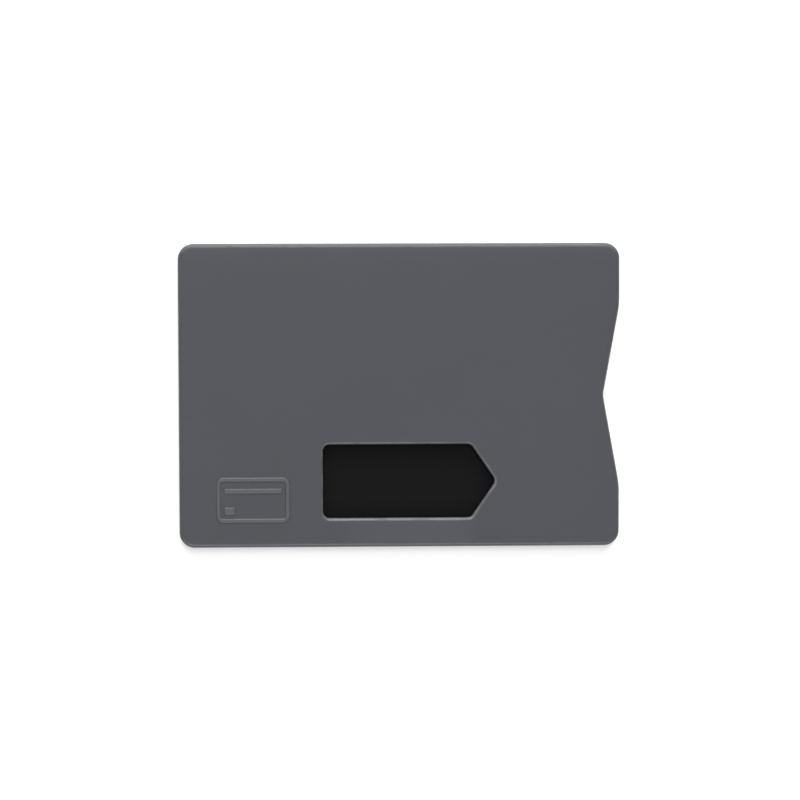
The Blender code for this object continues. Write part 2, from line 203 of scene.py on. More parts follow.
wallGap = {
    "sheet": 0.05 * mm,          # between a cover and the film on it
    "sheetSide": 0.15 * mm,      # between a sheet and the slot's side
    "relief": 0.25 * mm,         # how far the figure stands proud of the front
}
caseLow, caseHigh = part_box("front_cover")
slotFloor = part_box("rear_lining")[1].z
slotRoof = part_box("front_lining")[0].z
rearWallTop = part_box("rear_shield_adhesive")[0].z - wallGap["sheet"]
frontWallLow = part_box("front_shield_adhesive")[1].z + wallGap["sheet"]
frontFace = caseHigh.z - wallGap["relief"]
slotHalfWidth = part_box("rear_lining")[1].y + wallGap["sheetSide"]
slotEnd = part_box("rear_lining")[0].x - wallGap["sheetSide"]
cutFrom = rearWallTop / 2        # where cuts and pins start, inside the lid's wall
fingerHinge = Vector(frame["joints"][0]["pos_m"])

caseShape = {
    "cornerRadius": 3.20 * mm,
    "frontEdge": 0.88 * mm,
    "fallWidth": 4.40 * mm,         # the front face falls away slightly towards its edge
    "fallSlope": math.radians(2.2),
    "rearEdge": 0.50 * mm,
    "notchLength": 37.50 * mm,
    "notchDepth": 3.40 * mm,
    "apexRadius": 5.40 * mm,
    "shoulderRadius": 16.00 * mm,
    "mouthLip": 0.40 * mm,
}


def mouthOutline(left, right, halfWidth, radius):
    # a plate whose right side has the mouth's shallow V
    halfNotch = caseShape["notchLength"] / 2
    shoulder = caseShape["shoulderRadius"]
    return [
        (left, -halfWidth, radius),
        (right, -halfWidth, radius),
        (right, -halfNotch, shoulder),
        (right - caseShape["notchDepth"], 0, caseShape["apexRadius"]),
        (right, halfNotch, shoulder),
        (right, halfWidth, radius),
        (left, halfWidth, radius),
    ]


def caseOutline():
    return mouthOutline(caseLow.x, caseHigh.x, caseHigh.y, caseShape["cornerRadius"])


def mouthLipTool():
    # rounds both covers away from the slot along the mouth
    lip = caseShape["mouthLip"]
    far = caseHigh.x + caseShape["notchDepth"]
    _, *mouthSide, _ = mouthOutline(caseLow.x, caseHigh.x, slotHalfWidth, 0)
    corners = [(far, -slotHalfWidth, 0), (far, slotHalfWidth, 0), *reversed(mouthSide)]
    above = [(frontWallLow + lip * (1 - math.cos(angle)), -lip * (1 - math.sin(angle)))
             for angle in quarterTurn()]
    below = [(rearWallTop + frontWallLow - height, inset) for height, inset in reversed(above)]
    return pieceFromStacks("mouthLipTool", ringsAt(corners, below + above))


# The lid's seat in the tray, and where the tray's sides are solid.

seatShape = {
    "sideWall": 1.30 * mm,
    "clearance": 0.15 * mm,
    "roofGap": 0.05 * mm,
    "seamBevel": 0.20 * mm,
}
sideShape = {
    "railThickness": 1.00 * mm,
    "channelWidth": 1.75 * mm,
    "padLength": 7.00 * mm,
    "fingerReach": 15.00 * mm,      # from the hinge to the end of the finger's gap
    "socketLip": 0.75 * mm,         # from the hinge to the face of its pad
    "socketRadius": 1.08 * mm,
    "pinRadius": 0.70 * mm,
    "pinClearance": 0.10 * mm,
    "pinRoof": 0.60 * mm,
    "pinTipGap": 0.15 * mm,
    "pinTip": 0.40 * mm,
    "pinTipShare": 0.65,
}
railOutside = slotHalfWidth + sideShape["railThickness"]
channelOutside = railOutside + sideShape["channelWidth"]
seatHalfWidth = caseHigh.y - seatShape["sideWall"]
fingerGapEnd = fingerHinge.x - sideShape["fingerReach"]
socketFace = fingerHinge.x - sideShape["socketLip"]


def seatRings(clearance, bevel, high):
    # the lid's space, drawn in by clearance and wider by bevel at the rear face
    overrun = fineness["overrun"]
    far = caseHigh.x + seatShape["clearance"] + seatShape["seamBevel"] + 2 * overrun
    corners = boxCorners(caseLow.x + seatShape["sideWall"], far, -seatHalfWidth, seatHalfWidth)
    radius = caseShape["cornerRadius"] - seatShape["sideWall"]
    corners = [(x, y, radius if x < 0 else 0) for x, y, _ in corners]      # round at the closed end
    pastBevel = bevel + math.copysign(overrun, bevel)
    return ringsAt(corners, [(-overrun, clearance - pastBevel), (abs(bevel), clearance), (high, clearance)])


def padSpans():
    endPad = (slotEnd, slotEnd + sideShape["padLength"])
    middle = (endPad[1] + fingerGapEnd) / 2
    middlePad = (middle - sideShape["padLength"] / 2, middle + sideShape["padLength"] / 2)
    return endPad, middlePad, (socketFace, caseHigh.x)


def pinPlaces():
    endPad, middlePad, _ = padSpans()
    pastSocket = fingerHinge.x + sideShape["socketRadius"]
    columns = [sum(endPad) / 2, sum(middlePad) / 2, (pastSocket + caseHigh.x) / 2]
    offset = (slotHalfWidth + channelOutside) / 2
    return [(x, side * offset) for x in columns for side in (-1, 1)]


# Front cover: the tray with the window, the raised figure, the card's rails and the sockets.

windowShape = {
    "length": 30.90 * mm,
    "point": 5.25 * mm,
    "height": 15.40 * mm,
    "fromEnd": 30.00 * mm,
    "fromSide": 6.10 * mm,
    "cornerRadius": 1.40 * mm,
    "tipRadius": 1.60 * mm,
    "edge": 0.65 * mm,
}
figureShape = {
    "length": 15.40 * mm,
    "height": 9.60 * mm,
    "fromEnd": 7.70 * mm,
    "fromSide": 5.20 * mm,
    "stroke": 1.00 * mm,
    "gap": 0.60 * mm,
    "cornerRadius": 1.50 * mm,
    "root": 0.50 * mm,
    "crown": 0.36 * mm,            # how far in from its foot a stroke is rounded
    "foot": math.radians(4),       # how far that arc runs on below the face
    "stripeFromTop": 2.30 * mm,
    "stripeThickness": 1.20 * mm,
    "stripeRadius": 0.30 * mm,
    "chipLength": 2.40 * mm,
    "chipHeight": 1.80 * mm,
    "chipRadius": 0.45 * mm,
}


def windowBox():
    # the window without its point
    left = caseLow.x + windowShape["fromEnd"]
    low = caseLow.y + windowShape["fromSide"]
    return left, left + windowShape["length"], low, low + windowShape["height"]


def windowOutline():
    left, right, low, high = windowBox()
    radius = windowShape["cornerRadius"]
    return [
        (left, low, radius),
        (right, low, radius),
        (right + windowShape["point"], (low + high) / 2, windowShape["tipRadius"]),
        (right, high, radius),
        (left, high, radius),
    ]


def windowTool():
    overrun = fineness["overrun"]
    levels = [(frontWallLow - overrun, 0)]
    levels += [(height, -inset) for height, inset in edgeUp(frontFace, windowShape["edge"])]
    levels += [(frontFace + overrun, -windowShape["edge"])]
    return pieceFromStacks("windowTool", ringsAt(windowOutline(), levels))


def crownUp():
    # levels of an arc that rises by the relief over the crown's width, and ends level
    relief = wallGap["relief"]
    width = figureShape["crown"]
    radius = (width ** 2 + relief ** 2) / (2 * relief)
    steepest = math.asin(width / radius) + figureShape["foot"]
    steps = fineness["edgeSteps"]
    slopes = [steepest * (1 - step / steps) for step in range(steps + 1)]
    return [(caseHigh.z - radius * (1 - math.cos(slope)), width - radius * math.sin(slope))
            for slope in slopes]


def figureTool():
    # a card's outline with its stripe and chip, raised from the front
    stroke = figureShape["stroke"]
    left = caseLow.x + figureShape["fromEnd"]
    right = left + figureShape["length"]
    low = caseLow.y + figureShape["fromSide"]
    high = low + figureShape["height"]
    root = frontFace - figureShape["root"]
    outer = crownUp()
    inner = [(height, stroke - inset) for height, inset in reversed(outer)]
    foot = outer[0][1]
    rim = boxCorners(left, right, low, high, figureShape["cornerRadius"])

    margin = stroke + figureShape["gap"]
    stripeHigh = high - figureShape["stripeFromTop"]
    stripeLow = stripeHigh - figureShape["stripeThickness"]
    stripeEnds = (left + margin, right - margin)
    stripe = boxCorners(*stripeEnds, stripeLow, stripeHigh, figureShape["stripeRadius"])
    chipRight = left + margin + figureShape["chipLength"]
    chipHigh = low + margin + figureShape["chipHeight"]
    chip = boxCorners(left + margin, chipRight, low + margin, chipHigh, figureShape["chipRadius"])

    shape = bmesh.new()
    section = [(root, foot), *outer, *inner, (root, stroke - foot)]
    skinRings(shape, ringsAt(rim, section), closed=True)
    for bar in (stripe, chip):
        skinRings(shape, ringsAt(bar, [(root, foot), *outer]))
    return pieceFrom("figureTool", shape)


def frontLevels():
    # the rounded front edge, and then the slight fall that ends level with the face
    width = caseShape["fallWidth"]
    halfCurve = math.tan(caseShape["fallSlope"]) / (2 * width)
    steps = fineness["edgeSteps"]
    edge = caseShape["frontEdge"]
    levels = edgeUp(frontFace - halfCurve * width ** 2, edge)
    for step in range(1, steps + 1):
        left = width * (1 - step / steps)
        levels.append((frontFace - halfCurve * left ** 2, edge + width - left))
    return levels


def buildFrontShell():
    levels = edgeDown(caseLow.z, caseShape["rearEdge"]) + frontLevels()
    shell = pieceFromStacks("frontShell", ringsAt(caseOutline(), levels))
    overrun = fineness["overrun"]

    seatTop = rearWallTop + seatShape["roofGap"]
    carve(shell, pieceFromStacks("lidSeatTool", seatRings(0, seatShape["seamBevel"], seatTop)))
    slot = boxCorners(slotEnd, caseHigh.x + overrun, -slotHalfWidth, slotHalfWidth)
    carve(shell, prisms("slotTool", [slot], cutFrom, frontWallLow))

    endPad, middlePad, mouthPad = padSpans()
    spans = [(endPad[1], middlePad[0]), (middlePad[1], mouthPad[0])]
    channels = [boxCorners(*span, railOutside, channelOutside) for span in spans]
    channels += [mirrored(channel) for channel in channels]
    carve(shell, prisms("channelTool", channels, cutFrom, frontWallLow))
    gap = boxCorners(fingerGapEnd, socketFace, slotHalfWidth - overrun, railOutside + overrun)
    carve(shell, prisms("fingerGapTool", [gap, mirrored(gap)], cutFrom, frontWallLow))

    hinges = [(fingerHinge.x, side * fingerHinge.y) for side in (-1, 1)]
    socket = [(height, sideShape["socketRadius"]) for height in (cutFrom, frontWallLow)]
    carve(shell, posts("socketTool", hinges, socket))
    holeRadius = sideShape["pinRadius"] + sideShape["pinClearance"]
    hole = [(height, holeRadius) for height in (cutFrom, frontWallLow - sideShape["pinRoof"])]
    carve(shell, posts("pinHoleTool", pinPlaces(), hole))

    carve(shell, windowTool())
    carve(shell, mouthLipTool())
    carve(shell, figureTool(), "UNION")
    shadeSmooth(shell)
    return shell


# Rear cover: the lid with a pin for each pad of the tray.

def buildRearShell():
    overrun = fineness["overrun"]
    levels = [*edgeDown(caseLow.z, caseShape["rearEdge"]), (rearWallTop, 0)]
    shell = pieceFromStacks("rearShell", ringsAt(caseOutline(), levels))
    seat = seatRings(seatShape["clearance"], -seatShape["seamBevel"], rearWallTop + overrun)
    carve(shell, pieceFromStacks("lidOutlineTool", seat), "INTERSECT")

    tip = frontWallLow - sideShape["pinRoof"] - sideShape["pinTipGap"]
    radius = sideShape["pinRadius"]
    sections = [
        (cutFrom, radius),
        (tip - sideShape["pinTip"], radius),
        (tip, radius * sideShape["pinTipShare"]),
    ]
    carve(shell, posts("pinTool", pinPlaces(), sections), "UNION")
    carve(shell, mouthLipTool())
    shadeSmooth(shell)
    return shell


# Spring fingers: a beam from a round root, with a nub that presses on the card's edge.

fingerShape = {
    "length": 14.00 * mm,
    "thickness": 1.30 * mm,
    "fromSlot": 0.30 * mm,
    "faceClearance": 0.12 * mm,
    "rootRadius": 1.00 * mm,
    "rootFaceClearance": 0.10 * mm,
    "rootChamfer": 0.12 * mm,
    "nubReach": 0.75 * mm,
    "nubLength": 4.40 * mm,
    "nubFromTip": 3.00 * mm,
    "nubRadius": 1.20 * mm,
    "nubFootRadius": 1.20 * mm,
    "tipRadius": 0.30 * mm,
    "edge": 0.14 * mm,
}


def fingerOutline():
    half = fingerShape["thickness"] / 2
    tipX = fingerHinge.x - fingerShape["length"]
    innerY = slotHalfWidth + fingerShape["fromSlot"]
    nubX = tipX + fingerShape["nubFromTip"]
    halfNub = fingerShape["nubLength"] / 2
    return [
        (tipX, innerY, fingerShape["tipRadius"]),
        (nubX - halfNub, innerY, fingerShape["nubFootRadius"]),
        (nubX, slotHalfWidth - fingerShape["nubReach"], fingerShape["nubRadius"]),
        (nubX + halfNub, innerY, fingerShape["nubFootRadius"]),
        (fingerHinge.x, fingerHinge.y - half, 0),
        (fingerHinge.x, fingerHinge.y + half, 0),
        (tipX, innerY + fingerShape["thickness"], fingerShape["tipRadius"]),
    ]


def buildFinger(name, side):
    corners = fingerOutline() if side > 0 else mirrored(fingerOutline())
    low = slotFloor + fingerShape["faceClearance"]
    high = slotRoof - fingerShape["faceClearance"]
    levels = edgeDown(low, fingerShape["edge"]) + edgeUp(high, fingerShape["edge"])
    finger = pieceFromStacks(name, ringsAt(corners, levels))

    radius = fingerShape["rootRadius"]
    chamfer = fingerShape["rootChamfer"]
    rootLow = rearWallTop + fingerShape["rootFaceClearance"]
    rootHigh = frontWallLow - fingerShape["rootFaceClearance"]
    sections = [
        (rootLow, radius - chamfer),
        (rootLow + chamfer, radius),
        (rootHigh - chamfer, radius),
        (rootHigh, radius - chamfer),
    ]
    carve(finger, posts("rootTool", [(fingerHinge.x, side * fingerHinge.y)], sections), "UNION")
    shadeSmooth(finger)
    return finger


# Shader nodes: small helpers, then the effects that several finishes share.

def feed(tree, source, socket):
    if isinstance(source, bpy.types.NodeSocket):
        tree.links.new(source, socket)
    else:
        socket.default_value = source


def calc(tree, operation, *terms):
    node = tree.nodes.new("ShaderNodeMath")
    node.operation = operation
    for index, term in enumerate(terms):
        feed(tree, term, node.inputs[index])
    return node.outputs[0]


def rerange(tree, value, low, high, toLow=0.0, toHigh=1.0):
    node = tree.nodes.new("ShaderNodeMapRange")
    node.interpolation_type = "SMOOTHSTEP"
    for source, socket in zip((value, low, high, toLow, toHigh), node.inputs):
        feed(tree, source, socket)
    return node.outputs[0]


def noiseAt(tree, place, scale, detail=2.0, roughness=0.5):
    node = tree.nodes.new("ShaderNodeTexNoise")
    feed(tree, place, node.inputs["Vector"])
    feed(tree, scale, node.inputs["Scale"])
    node.inputs["Detail"].default_value = detail
    node.inputs["Roughness"].default_value = roughness
    return node.outputs[0]


noiseMiddle = 0.5        # the value that Blender's noise varies round


def centred(tree, noise):
    return calc(tree, "SUBTRACT", noise, noiseMiddle)


def blendColours(tree, share, first, second, mode="MIX"):
    node = tree.nodes.new("ShaderNodeMix")
    node.data_type = "RGBA"
    node.blend_type = mode
    colourInputs = [socket for socket in node.inputs if socket.type == "RGBA"]
    feed(tree, share, node.inputs[0])
    feed(tree, first, colourInputs[0])
    feed(tree, second, colourInputs[1])
    return [socket for socket in node.outputs if socket.type == "RGBA"][0]


def opaque(colour):
    return (*colour, 1)


def tinted(tree, colour, tone):
    # a colour times a tone that varies round 1
    return blendColours(tree, 1.0, colour, tone, "MULTIPLY")


def startGroup(name, inputs, outputs):
    tree = bpy.data.node_groups.new(name, "ShaderNodeTree")
    for label, value in inputs.items():
        socket = tree.interface.new_socket(name=label, in_out="INPUT", socket_type="NodeSocketFloat")
        socket.default_value = value
    for label in outputs:
        tree.interface.new_socket(name=label, in_out="OUTPUT", socket_type="NodeSocketFloat")
    given = tree.nodes.new("NodeGroupInput").outputs
    sent = tree.nodes.new("NodeGroupOutput").inputs
    return tree, given, sent


def useGroup(tree, group, **values):
    node = tree.nodes.new("ShaderNodeGroup")
    node.node_tree = group
    for label, value in values.items():
        feed(tree, value, node.inputs[label])
    return node.outputs


# Each effect's inputs with their first values, and the noise behind it. Scales are per metre.
grainNoise = {
    "inputs": {"Size": 0.2 * mm, "Tone": 0.02, "Gloss": 0.05},
    "fineDetail": 3.0,
    "fineRoughness": 0.6,
    "fineWeight": 0.7,
    "coarseWeight": 0.3,
    "coarseScaleShare": 0.3,
}


def makeMouldGrain():
    # the fine spark-eroded texture that a mould leaves on satin plastic
    noise = grainNoise
    tree, given, sent = startGroup("mouldGrain", noise["inputs"], ["Height", "Tone", "Gloss"])
    place = tree.nodes.new("ShaderNodeTexCoord").outputs["Object"]
    fineScale = calc(tree, "DIVIDE", 1.0, given["Size"])
    coarseScale = calc(tree, "MULTIPLY", fineScale, noise["coarseScaleShare"])
    fine = noiseAt(tree, place, fineScale, noise["fineDetail"], noise["fineRoughness"])
    fine = calc(tree, "MULTIPLY", fine, noise["fineWeight"])
    coarse = calc(tree, "MULTIPLY", noiseAt(tree, place, coarseScale), noise["coarseWeight"])
    height = calc(tree, "ADD", fine, coarse)
    swing = centred(tree, height)
    feed(tree, height, sent["Height"])
    feed(tree, calc(tree, "MULTIPLY_ADD", swing, given["Tone"], 1.0), sent["Tone"])
    feed(tree, calc(tree, "MULTIPLY", swing, given["Gloss"]), sent["Gloss"])
    return tree


flowNoise = {
    "inputs": {"Spread": 0.04, "Gloss": 0.04},
    "cloudScale": 45.0,
    "cloudDetail": 3.0,
    "cloudRoughness": 0.55,
    "sheenScale": 120.0,
}


def makeFlowTone():
    # the slow, cloudy change of tone where the plastic ran through the mould
    noise = flowNoise
    tree, given, sent = startGroup("flowTone", noise["inputs"], ["Tone", "Gloss"])
    place = tree.nodes.new("ShaderNodeTexCoord").outputs["Object"]
    cloud = noiseAt(tree, place, noise["cloudScale"], noise["cloudDetail"], noise["cloudRoughness"])
    sheen = noiseAt(tree, place, noise["sheenScale"])
    tone = calc(tree, "MULTIPLY_ADD", centred(tree, cloud), given["Spread"], 1.0)
    feed(tree, tone, sent["Tone"])
    feed(tree, calc(tree, "MULTIPLY", centred(tree, sheen), given["Gloss"]), sent["Gloss"])
    return tree


wearNoise = {
    "inputs": {"Amount": 0.5},
    "edgeGain": 4.0,               # the mask is full where the normal's Z is a half
    "patchScale": 260.0,
    "patchDetail": 4.0,
    "patchRoughness": 0.6,
    "patchFrom": 0.38,
    "patchTo": 0.68,
    "leastWear": 0.15,             # between the patches
}


def makeEdgeRubAndSheen():
    # rounded edges, where hands and pockets have rubbed the texture smooth; on the front cover the same
    # mask also places a painted highlight on the edges
    noise = wearNoise
    tree, given, sent = startGroup("edgeRubAndSheen", noise["inputs"], ["Mask"])
    coordinates = tree.nodes.new("ShaderNodeTexCoord").outputs
    split = tree.nodes.new("ShaderNodeSeparateXYZ")
    feed(tree, coordinates["Normal"], split.inputs[0])
    upright = calc(tree, "ABSOLUTE", split.outputs["Z"])
    gained = calc(tree, "MULTIPLY", upright, noise["edgeGain"])
    turned = calc(tree, "MULTIPLY", calc(tree, "SUBTRACT", 1.0, upright), gained)
    place = coordinates["Object"]
    patches = noiseAt(tree, place, noise["patchScale"], noise["patchDetail"], noise["patchRoughness"])
    patches = rerange(tree, patches, noise["patchFrom"], noise["patchTo"], noise["leastWear"])
    rubbed = calc(tree, "MULTIPLY", turned, patches)
    feed(tree, calc(tree, "MULTIPLY", rubbed, given["Amount"]), sent["Mask"])
    return tree


rubNoise = {
    "inputs": {"Heading": 0.0, "Length": 8 * mm, "Width": 0.12 * mm, "Cover": 0.3},
    "strandDetail": 1.0,
    "strandFrom": 0.66,
    "strandTo": 0.76,
    "patchScale": 140.0,
    "patchTo": 0.8,
}


def makeRubLines():
    # hairlines along one heading, gathered into loose patches
    noise = rubNoise
    tree, given, sent = startGroup("rubLines", noise["inputs"], ["Mask"])
    turned = tree.nodes.new("ShaderNodeVectorRotate")
    turned.rotation_type = "Z_AXIS"
    feed(tree, tree.nodes.new("ShaderNodeTexCoord").outputs["Object"], turned.inputs["Vector"])
    feed(tree, given["Heading"], turned.inputs["Angle"])
    stretch = tree.nodes.new("ShaderNodeCombineXYZ")
    feed(tree, calc(tree, "DIVIDE", 1.0, given["Length"]), stretch.inputs["X"])
    across = calc(tree, "DIVIDE", 1.0, given["Width"])
    feed(tree, across, stretch.inputs["Y"])
    feed(tree, across, stretch.inputs["Z"])
    stretched = tree.nodes.new("ShaderNodeVectorMath")
    stretched.operation = "MULTIPLY"
    feed(tree, turned.outputs[0], stretched.inputs[0])
    feed(tree, stretch.outputs[0], stretched.inputs[1])

    strands = noiseAt(tree, stretched.outputs[0], 1.0, noise["strandDetail"])
    strands = rerange(tree, strands, noise["strandFrom"], noise["strandTo"])
    patches = noiseAt(tree, turned.outputs[0], noise["patchScale"])
    patchFrom = calc(tree, "SUBTRACT", noise["patchTo"], given["Cover"])
    patches = rerange(tree, patches, patchFrom, noise["patchTo"])
    feed(tree, calc(tree, "MULTIPLY", strands, patches), sent["Mask"])
    return tree


# Finishes.

def startFinish(name, colour, roughness, specular=0.5, metallic=0.0):
    material = bpy.data.materials.new(name)
    material.use_nodes = True
    material.diffuse_color = opaque(colour)
    shader = material.node_tree.nodes["Principled BSDF"]
    shader.inputs["Base Color"].default_value = opaque(colour)
    shader.inputs["Roughness"].default_value = roughness
    shader.inputs["Metallic"].default_value = metallic
    shader.inputs["Specular IOR Level"].default_value = specular
    return material, material.node_tree, shader


def addGrain(tree, look):
    return useGroup(tree, mouldGrain, Size=look["grainSize"], Tone=look["grainTone"],
                    Gloss=look["grainGloss"])


def addFlow(tree, look):
    return useGroup(tree, flowTone, Spread=look["flowSpread"], Gloss=look["flowGloss"])


def addBump(tree, shader, height, depth):
    bump = tree.nodes.new("ShaderNodeBump")
    bump.inputs["Distance"].default_value = depth
    feed(tree, height, bump.inputs["Height"])
    feed(tree, bump.outputs["Normal"], shader.inputs["Normal"])


satinGrey = {
    "colour": (0.0458, 0.0474, 0.0548),
    # the lighter colour of rubbed edges, which on the front cover is also a painted highlight on the outer
    # edges and the window's rim
    "rubAndSheenColour": (0.127, 0.1275, 0.1340),
    "roughness": 0.36,
    "wornRoughness": 0.28,
    "specular": 0.45,
    "grainSize": 0.24 * mm,
    "grainTone": 0.16,
    "grainGloss": 0.16,
    "grainDepth": 0.022 * mm,
    "flowSpread": 0.10,
    "flowGloss": 0.08,
    "scratchHeadings": (0.35, -0.62, 1.75),     # in radians
    "scratchLength": 9 * mm,
    "scratchWidth": 0.10 * mm,
    "scratchFade": 0.35,                        # how much of the edges' lighter colour a scratch shows
    "scratchDepthShare": 0.6,
}
# how strongly each cover's edges take the lighter colour: rubbed plastic, and on the front also a painted
# highlight
coverEdgesAndScratches = {
    "front": {"rubSheenAmount": 0.24, "scratchCover": 0.16},
    "rear": {"rubSheenAmount": 0.45, "scratchCover": 0.30},
}

# Marks that only the front has: rubbed relief, rubbed edges at the window and along the long sides that
# also carry a painted highlight, a painted sheen on a strip below the window, and the line where the
# plastic knitted.
frontMarks = {
    "reliefFoot": 0.06 * mm,
    "reliefRub": 0.35,
    "thumbRubAndSheen": 5.00,
    "thumbMargin": 1.20 * mm,
    "thumbStart": 3.20 * mm,       # how slowly the rub and its painted highlight begin at the window's blunt end
    "fade": 0.40 * mm,
    "gripRubAndSheen": 0.38,               # along the long sides, a painted highlight on their edges as well as rubbing
    "gripMargin": 1.60 * mm,
    "stripSheen": 0.16,
    "stripFade": 5.00 * mm,
    "knitFromMiddle": -2.10 * mm,
    "knitWidth": 0.22 * mm,
    "knitWander": 0.50 * mm,
    "knitWanderScale": 300.0,
    "knitTone": -0.05,
}


def bandMask(tree, value, low, high, fade):
    # 1 between low and high, and 0 beyond a fade outside them
    rising = rerange(tree, value, low - fade, low)
    falling = rerange(tree, value, high, high + fade, 1.0, 0.0)
    return calc(tree, "MULTIPLY", rising, falling)


def frontRubAndSheen(tree, x, y, z):
    # rubbed relief and edges, lightened also as a painted highlight on the window's rim and the long sides
    marks = frontMarks
    left, right, low, high = windowBox()
    margin = marks["thumbMargin"]
    fade = marks["fade"]
    start = left - margin
    end = right + windowShape["point"] + margin
    relief = rerange(tree, z, frontFace + marks["reliefFoot"], caseHigh.z, 0.0, marks["reliefRub"])
    edges = useGroup(tree, edgeRubAndSheen, Amount=marks["thumbRubAndSheen"])["Mask"]

    rising = rerange(tree, x, start, start + marks["thumbStart"])
    across = calc(tree, "MULTIPLY", rising, bandMask(tree, x, start, end, fade))
    along = bandMask(tree, y, low - margin, high + margin, fade)
    thumb = calc(tree, "MULTIPLY", edges, calc(tree, "MULTIPLY", across, along))

    gripFrom = caseHigh.y - marks["gripMargin"]
    side = rerange(tree, calc(tree, "ABSOLUTE", y), gripFrom - fade, gripFrom)
    grip = calc(tree, "MULTIPLY", calc(tree, "MINIMUM", edges, marks["gripRubAndSheen"]), side)
    return calc(tree, "MAXIMUM", relief, calc(tree, "MAXIMUM", thumb, grip))


def frontTone(tree, place, x, y):
    # a painted sheen lightens a strip below the window, and the knit line darkens a thin line
    marks = frontMarks
    left, right, low, _ = windowBox()
    middle = (left + right + windowShape["point"]) / 2
    below = rerange(tree, y, low - marks["fade"], low, 1.0, 0.0)
    halfStrip = windowShape["length"] / 2 - marks["stripFade"]
    sheenStrip = bandMask(tree, x, middle - halfStrip, middle + halfStrip, marks["stripFade"])

    noise = noiseAt(tree, place, marks["knitWanderScale"])
    wander = calc(tree, "MULTIPLY_ADD", noise, marks["knitWander"], x)
    knitAt = middle + marks["knitFromMiddle"] + marks["knitWander"] * noiseMiddle
    fromKnit = calc(tree, "ABSOLUTE", calc(tree, "SUBTRACT", wander, knitAt))
    knit = rerange(tree, fromKnit, 0.0, marks["knitWidth"], 1.0, 0.0)
    darker = calc(tree, "MULTIPLY", knit, marks["knitTone"])
    change = calc(tree, "MULTIPLY_ADD", sheenStrip, marks["stripSheen"], darker)
    return calc(tree, "MULTIPLY_ADD", below, change, 1.0)


def markFront(tree):
    place = tree.nodes.new("ShaderNodeTexCoord").outputs["Object"]
    split = tree.nodes.new("ShaderNodeSeparateXYZ")
    feed(tree, place, split.inputs[0])
    x, y, z = split.outputs
    return frontRubAndSheen(tree, x, y, z), frontTone(tree, place, x, y)


def fineScratches(tree, look, cover):
    lines = 0.0
    for heading in look["scratchHeadings"]:
        strand = useGroup(tree, rubLines, Heading=heading, Length=look["scratchLength"],
                          Width=look["scratchWidth"], Cover=cover)["Mask"]
        lines = calc(tree, "MAXIMUM", lines, strand)
    return lines


def satinPlastic(name, rubSheenAmount, scratchCover, marks=None):
    look = satinGrey
    material, tree, shader = startFinish(name, look["colour"], look["roughness"], look["specular"])
    grain = addGrain(tree, look)
    flow = addFlow(tree, look)
    # the mask of rounded edges that turn lighter: rubbed plastic, and on the front a painted highlight
    rubAndSheenMask = useGroup(tree, edgeRubAndSheen, Amount=rubSheenAmount)["Mask"]
    lines = fineScratches(tree, look, scratchCover)
    tone = calc(tree, "MULTIPLY", grain["Tone"], flow["Tone"])
    if marks:
        rubAndSheen, markTone = marks(tree)
        rubAndSheenMask = calc(tree, "MINIMUM", calc(tree, "MAXIMUM", rubAndSheenMask, rubAndSheen), 1.0)
        tone = calc(tree, "MULTIPLY", tone, markTone)

    # masked edges and scratches take the lighter colour, partly rubbed plastic and partly painted highlight
    base = tinted(tree, opaque(look["colour"]), tone)
    faded = calc(tree, "MAXIMUM", rubAndSheenMask, calc(tree, "MULTIPLY", lines, look["scratchFade"]))
    colour = blendColours(tree, faded, base, opaque(look["rubAndSheenColour"]))
    feed(tree, colour, shader.inputs["Base Color"])

    rough = calc(tree, "ADD", calc(tree, "ADD", grain["Gloss"], flow["Gloss"]), look["roughness"])
    smoothing = calc(tree, "MULTIPLY", rubAndSheenMask, look["roughness"] - look["wornRoughness"])
    feed(tree, calc(tree, "SUBTRACT", rough, smoothing), shader.inputs["Roughness"])

    grooves = calc(tree, "MULTIPLY", lines, look["scratchDepthShare"])
    height = calc(tree, "SUBTRACT", grain["Height"], grooves)
    addBump(tree, shader, height, look["grainDepth"])
    return material


liningFilm = {
    "colour": (0.0076, 0.0076, 0.0076),
    "rubbedColour": (0.0125, 0.0125, 0.0126),
    "roughness": 0.36,
    "specular": 0.03,
    "grainSize": 0.11 * mm,
    "grainTone": 0.5,
    "grainGloss": 0.20,
    "grainDepth": 0.004 * mm,
    "slideHeading": 0.03,
    "slideLength": 14 * mm,
    "slideWidth": 0.14 * mm,
    "slideCover": 0.45,
    "slideGloss": 0.1,             # how much smoother a slide mark is
}


def blackFilm(name):
    # matt film with faint rubbing along the way that a card slides
    look = liningFilm
    material, tree, shader = startFinish(name, look["colour"], look["roughness"], look["specular"])
    grain = addGrain(tree, look)
    slides = useGroup(tree, rubLines, Heading=look["slideHeading"], Length=look["slideLength"],
                      Width=look["slideWidth"], Cover=look["slideCover"])["Mask"]
    base = tinted(tree, opaque(look["colour"]), grain["Tone"])
    colour = blendColours(tree, slides, base, opaque(look["rubbedColour"]))
    feed(tree, colour, shader.inputs["Base Color"])
    rough = calc(tree, "ADD", grain["Gloss"], look["roughness"])
    smoothing = calc(tree, "MULTIPLY", slides, look["slideGloss"])
    feed(tree, calc(tree, "SUBTRACT", rough, smoothing), shader.inputs["Roughness"])
    addBump(tree, shader, grain["Height"], look["grainDepth"])
    return material


foilLook = {
    "colour": (0.800, 0.800, 0.810),
    "shadeColour": (0.620, 0.625, 0.640),
    "roughness": 0.28,
    "flowSpread": 0.06,
    "flowGloss": 0.12,
    "rollWidth": 0.05 * mm,
    "rollLength": 30 * mm,
    "rollCover": 0.7,
    "rollRoughness": 0.15,         # added in the rolls' lines
    "rollDepth": 0.002 * mm,
}


